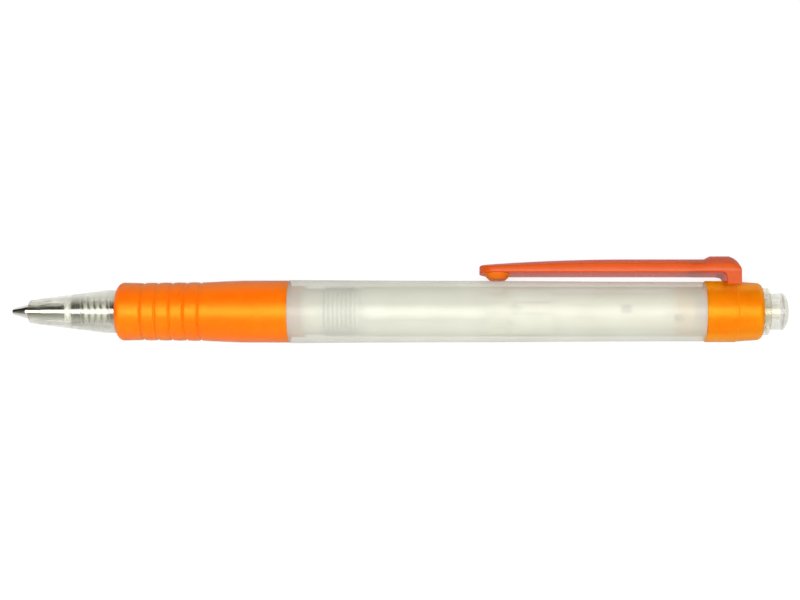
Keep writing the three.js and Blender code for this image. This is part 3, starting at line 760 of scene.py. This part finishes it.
def refill():
    """Refill tube behind the tip."""
    return turned("refill_tube_shell", [
        (TIP_END, REFILL_BORE, 0.05), (TIP_END, REFILL_RADIUS, 0.12),
        (REFILL_END, REFILL_RADIUS, 0.1), (REFILL_END, REFILL_BORE, 0.1),
    ], steps=FINE_TURN_STEPS)


def clip_section(distance, half, side, crown, edge=0.35, foot=0.2, lift=0.0):
    """One cross-section of the clip: flat inside, upright sides, crowned back, rounded edges."""
    half = max(half, 0.02)
    edge = min(edge, half * 0.6)
    foot = min(foot, half * 0.5)
    arc, span = 5, 14
    rising = [math.pi / 2 * k / arc for k in range(arc + 1)]
    falling = [math.pi / 2 * (1 - k / arc) for k in range(arc + 1)]
    points = []

    def add(width, height):
        points.append(place(CLIP_TIP + distance, CLIP_INNER + height, width))

    def back(width):
        return crown - (crown - side) * (width / CLIP_HALF) ** 2

    top = back(half - edge)
    for a in rising:
        add(half - foot + foot * math.sin(a), lift + foot - foot * math.cos(a))
    for a in rising:
        add(half - edge + edge * math.cos(a), top - edge * (1 - math.sin(a)))
    for k in range(1, span):
        width = (half - edge) * (1 - 2 * k / span)
        add(width, back(width))
    for a in falling:
        add(-(half - edge + edge * math.cos(a)), top - edge * (1 - math.sin(a)))
    for a in falling:
        add(-(half - foot + foot * math.sin(a)), lift + foot - foot * math.cos(a))
    return points


def arm_heights(distance):
    """Heights of the arm's side and crown, which rise from the tip and then stay."""
    share = min(distance / ARM_RISE_END, 1)
    eased = share * (2 - share)
    return 0.9 + 0.57 * eased, 1.65 + 1.12 * eased


def clip_arm_loops():
    """The arm, from its round tip into the block."""
    loops = []
    steps = 16
    first, sweep = 6, 84
    for k in range(steps + 1):
        a = math.radians(first + sweep * k / steps)
        distance = CLIP_HALF * (1 - math.cos(a))
        side, crown = arm_heights(distance)
        drop = 0.35 * (1 - math.sin(a)) ** 2
        loops.append(clip_section(distance, CLIP_HALF * math.sin(a), side - drop, crown - drop))
    steps = 24
    for k in range(1, steps + 1):
        distance = CLIP_HALF + (ARM_STRAIGHT_END - CLIP_HALF) * k / steps
        loops.append(clip_section(distance, CLIP_HALF, *arm_heights(distance)))
    loops.append(clip_section(ARM_END, CLIP_HALF, *arm_heights(ARM_END)))
    return loops


def clip_block_loops():
    """The block, from where it swells out of the arm to its round rear."""
    side, crown = arm_heights(BLOCK_START)
    rows = [
        (38.15, 2.95, side - 0.1, crown - 0.12), (38.9, 3.18, side - 0.06, crown - 0.14),
        (BLOCK_START, BLOCK_HALF, side, crown - 0.14), (40.8, BLOCK_HALF, side, crown - 0.2),
        (41.0, BLOCK_HALF, 1.5, 2.64), (42.0, BLOCK_HALF, 1.71, 3.2), (42.25, BLOCK_HALF, 1.74, 3.33),
        (42.6, BLOCK_HALF, 1.75, BLOCK_HEIGHT), (BLOCK_END, BLOCK_HALF, 1.75, BLOCK_HEIGHT),
    ]
    loops = [clip_section(*row, BLOCK_EDGE, lift=BLOCK_LIFT) for row in rows]
    start = Vector((BLOCK_END, BLOCK_HEIGHT))
    corner = Vector((47.74, 2.71))
    end = Vector((POST_REAR, 0.96))
    steps = 10
    for k in range(1, steps + 1):
        point = bend(start, corner, end, k / steps)
        edge = min(BLOCK_EDGE, point.y * 0.4)
        loops.append(clip_section(point.x, BLOCK_HALF, point.y * 0.52, point.y, edge))
    return loops


def clip():
    """The arm and the block behind it."""
    bm = bmesh.new()
    add_loft(bm, clip_arm_loops())
    add_loft(bm, clip_block_loops())
    return finish_mesh("clip_arm", bm, CLIP_SHARP_DEGREES)


def clip_post():
    """Post with its inner fillet, and the foot that follows the collar."""
    low = Vector((POST_FRONT, CLIP_INNER - POST_FILLET))
    corner = Vector((POST_FRONT, CLIP_INNER))
    high = Vector((POST_FRONT - POST_FILLET, CLIP_INNER))
    steps = 8
    loops = []
    for z in (-3.38, -3.2, -2.4, -1.2, 0.0, 1.2, 2.4, 3.2, 3.38):
        foot = math.sqrt(max(POST_FOOT_RADIUS ** 2 - z * z, 0))
        inset = 0.12 if abs(z) > 3.3 else 0.0
        loop = []
        for k in range(steps + 1):
            point = bend(high, corner, low, k / steps)
            loop.append(place(CLIP_TIP + point.x + inset, max(point.y, foot), z))
        loop += [
            place(CLIP_TIP + POST_FRONT + inset, foot, z),
            place(CLIP_TIP + POST_REAR - inset, foot, z),
            place(CLIP_TIP + POST_REAR - inset, CLIP_INNER + POST_OVERLAP, z),
            place(CLIP_TIP + POST_FRONT - POST_FILLET + inset, CLIP_INNER + POST_OVERLAP, z),
        ]
        loops.append(loop)
    return loft("clip_post", loops, CLIP_SHARP_DEGREES)


def clip_nub():
    """Round nub under the arm's tip, turned about an axis that stands on the pen's."""
    outline = [(1.4, 5.82), (1.5, 5.84), (1.75, 6.06), (2.05, 6.37), (2.3, 6.64),
               (2.45, 6.82), (2.5, 6.95), (2.5, 7.1)]
    centre = CLIP_TIP + NUB_CENTRE
    steps = SMALL_TURN_STEPS
    bm = bmesh.new()
    middle = bm.verts.new(place(centre, outline[0][1], 0))
    rings = [
        [bm.verts.new(place(centre + r * math.cos(a), y, r * math.sin(a))) for a in circle(steps)]
        for r, y in outline
    ]
    for k in range(steps):
        bm.faces.new((middle, rings[0][k], rings[0][(k + 1) % steps]))
    for a, b in zip(rings, rings[1:]):
        for k in range(steps):
            n = (k + 1) % steps
            bm.faces.new((a[k], a[n], b[n], b[k]))
    bm.faces.new(rings[-1])
    return finish_mesh("clip_nub", bm, CLIP_SHARP_DEGREES)


dress(nose(), "body", "clear_plastic", "nose_cone")
dress(nose_core(), "body", "clear_plastic", material="core_plastic")
dress(nose_thread(), "body", "clear_plastic", material="thread_plastic")
dress(grip(), "body", "grip_plastic", "grip_sleeve")
dress(spigot("grip_spigot", BARREL_FRONT, SPIGOT_END, GRIP_BORE, 4.61), "body", "grip_plastic",
      material="grip_spigot")
dress(barrel(), "body", "frosted_plastic", "barrel")
for number in range(GUIDE_COUNT):
    dress(guide_rib(number), "body", "frosted_plastic", material="core_plastic")
dress(collar(), "body", "collar_plastic", "collar")
dress(spigot("collar_spigot", COLLAR_FRONT - COLLAR_SPIGOT, COLLAR_FRONT, COLLAR_BORE, 4.45),
      "body", "collar_plastic", material="collar_spigot")
dress(bush(), "body", "clear_plastic", "button_bush", material="bush_plastic")
dress(button(), "button", "clear_plastic", "push_button", material="button_plastic")
dress(tip(), "refill", "tip_metal", "writing_tip")
dress(writing_ball(), "ball", "ball_metal", "ball")
dress(refill(), "refill", "refill_plastic", "refill_tube")
dress(clip(), "clip", "clip_plastic", "clip")
dress(clip_post(), "clip", "clip_plastic")
dress(clip_nub(), "clip", "clip_plastic", material="nub_plastic")

coil = spring()
wear(coil, "spring_steel")
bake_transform(coil)
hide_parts("spring")

# The inner pieces keep their CAD shapes
for node, slot in (("plunger", "mechanism_plastic"), ("rotating_cam", "mechanism_plastic"),
                   ("ink", "ink_fill"), ("ink_follower", "follower_grease")):
    wear(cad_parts[node], slot)


def floor():
    """White floor: it glows for the rays that see it, and scatters the light that casts the shadow."""
    bpy.ops.mesh.primitive_plane_add(size=FLOOR_SIZE, location=(0, 0, FLOOR_Z))
    plane = bpy.context.object
    plane.name = "floor"
    n = Material("floor_white")
    diffuse = n.lobe("ShaderNodeBsdfDiffuse", (FLOOR_GREY, FLOOR_GREY, FLOOR_GREY, 1))
    rays = n.node("ShaderNodeLightPath").outputs
    seen = n.math("MAXIMUM", rays["Is Camera Ray"], rays["Is Glossy Ray"])
    seen = n.math("MAXIMUM", seen, rays["Is Transmission Ray"])
    glow = n.node("ShaderNodeEmission")
    n.feed(n.math("MULTIPLY", seen, FLOOR_GLOW), glow.inputs["Strength"])
    whole = n.node("ShaderNodeAddShader")
    n.feed(diffuse, whole.inputs[0])
    n.feed(glow.outputs[0], whole.inputs[1])
    n.finish(whole.outputs[0])
    plane.data.materials.append(n.material)


def room():
    """The studio's walls: a soft overhead light with a dark flag, and a fill from the near side."""
    world = bpy.data.worlds.new("studio")
    bpy.context.scene.world = world
    world.use_nodes = True
    n = Nodes(world.node_tree)

    def shade(direction, dark_at, light_at, dark, light):
        """Light that goes from dark to bright as the ray turns towards a direction."""
        turn = n.node("ShaderNodeVectorMath", operation="DOT_PRODUCT")
        n.feed(direction, turn.inputs[1])
        n.feed(n.coords.outputs["Generated"], turn.inputs[0])
        level = n.node("ShaderNodeMapRange", interpolation_type="SMOOTHSTEP")
        for socket, value in (("From Min", dark_at), ("From Max", light_at),
                              ("To Min", dark), ("To Max", light)):
            n.feed(value, level.inputs[socket])
        n.feed(turn.outputs["Value"], level.inputs["Value"])
        return level.outputs["Result"]

    overhead = shade((0, -1.2, 0.6), 0.0, 0.5, 0.02, 0.15)
    flag = shade((0.68, -0.5, -0.54), -0.9, -0.82, 0.02, 1.0)
    fill = shade((0, -1, 0), 0.2, 0.7, 0.0, 0.75)
    light = n.math("ADD", n.math("MULTIPLY", overhead, flag), fill)
    # The camera sees a white room past the floor's edge
    seen = n.node("ShaderNodeLightPath").outputs["Is Camera Ray"]
    background = world.node_tree.nodes["Background"]
    n.feed((1, 1, 1, 1), background.inputs["Color"])
    n.feed(n.math("MAXIMUM", light, seen), background.inputs["Strength"])


def softbox(name, position, size, power):
    """A rectangular lamp that faces the pen's middle."""
    data = bpy.data.lights.new(name, "AREA")
    data.shape = "RECTANGLE"
    data.size, data.size_y = size
    data.energy = power
    lamp = bpy.data.objects.new(name, data)
    bpy.context.scene.collection.objects.link(lamp)
    lamp.location = position
    lamp.rotation_euler = (-Vector(position)).to_track_quat("-Z", "Y").to_euler()


def camera():
    """The camera that takes the photograph's view."""
    data = bpy.data.cameras.new("camera")
    data.sensor_width = SENSOR
    data.lens = LENS
    data.shift_x, data.shift_y = CAMERA_SHIFT
    data.clip_start = NEAR_CLIP
    tilt = math.radians(CAMERA_TILT)
    back = Vector((0, math.sin(tilt), math.cos(tilt)))
    right = Vector((1, 0, 0))
    up = back.cross(right)
    obj = bpy.data.objects.new("camera", data)
    bpy.context.scene.collection.objects.link(obj)
    turn = Matrix((right, up, back)).transposed().to_4x4()
    target = Vector((CAMERA_TARGET_X, AXIS_Y, AXIS_Z))
    obj.matrix_world = Matrix.Translation(target + back * CAMERA_DISTANCE) @ turn
    bpy.context.scene.camera = obj


floor()
room()
softbox("key", KEY_PLACE, KEY_SIZE, KEY_POWER)
camera()
bpy.context.scene.view_settings.view_transform = "Standard"
